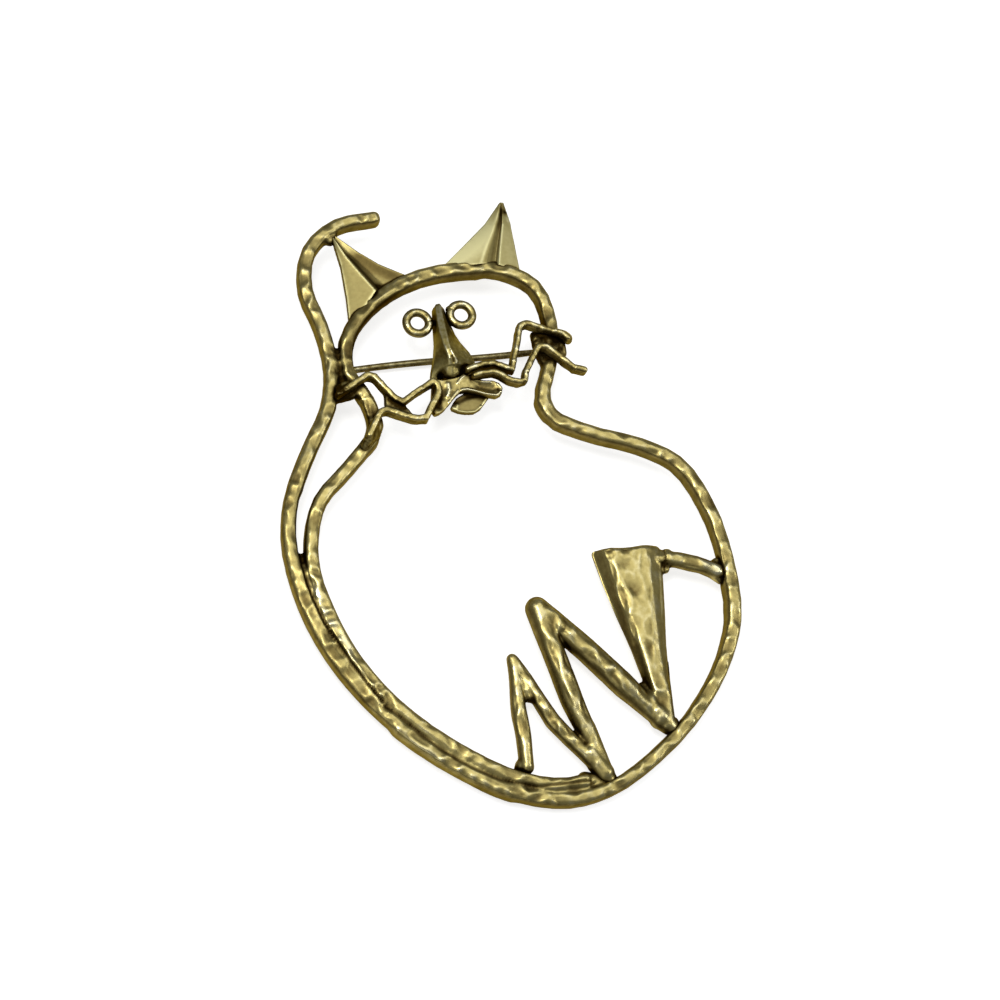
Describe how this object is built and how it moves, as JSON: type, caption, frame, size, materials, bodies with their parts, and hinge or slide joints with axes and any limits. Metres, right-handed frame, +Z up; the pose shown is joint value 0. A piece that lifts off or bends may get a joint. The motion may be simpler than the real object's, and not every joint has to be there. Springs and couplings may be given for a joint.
{
  "type": "figural animal brooch",
  "caption": "Gold-tone openwork cat brooch of bent hammered bar, with ears, whiskered face, a zigzag haunch and a hinged pin on its back",
  "frame": {"origin": "middle of the bounding box in X and Y, at the floor that the brooch lies on", "axes": "+Z is up through the cat's front, +Y runs from the rump to the ears, +X to the cat's straight shoulder, along the pin"},
  "size_m": [0.0632, 0.0895, 0.0084],
  "materials": {
    "antique_gold": "antiqued gold-tone metal, hammered and satin, dark in the recesses",
    "pin_wire": "plain drawn wire in the same gold tone"
  },
  "bodies": {
    "brooch": {"outline": "antique_gold", "ear_left": "antique_gold", "ear_right": "antique_gold", "eye_left": "antique_gold", "eye_right": "antique_gold", "nose": "antique_gold", "lips": "antique_gold", "tongue": "antique_gold", "whiskers_left": "antique_gold", "whisker_right_upper": "antique_gold", "whisker_right_lower": "antique_gold", "zigzag": "antique_gold", "pin_hinge": "antique_gold", "hinge_rivet": "antique_gold", "catch": "antique_gold"},
    "pin": {"pin_stem": "pin_wire"}
  },
  "joints": [
    {"name": "pin_swing", "type": "hinge", "parent": "brooch", "child": "pin", "pos_m": [-0.01903, 0.02273, 0.00112], "axis": [0, 0.9987, 0.0509], "range_deg": [0, 100]}
  ]
}
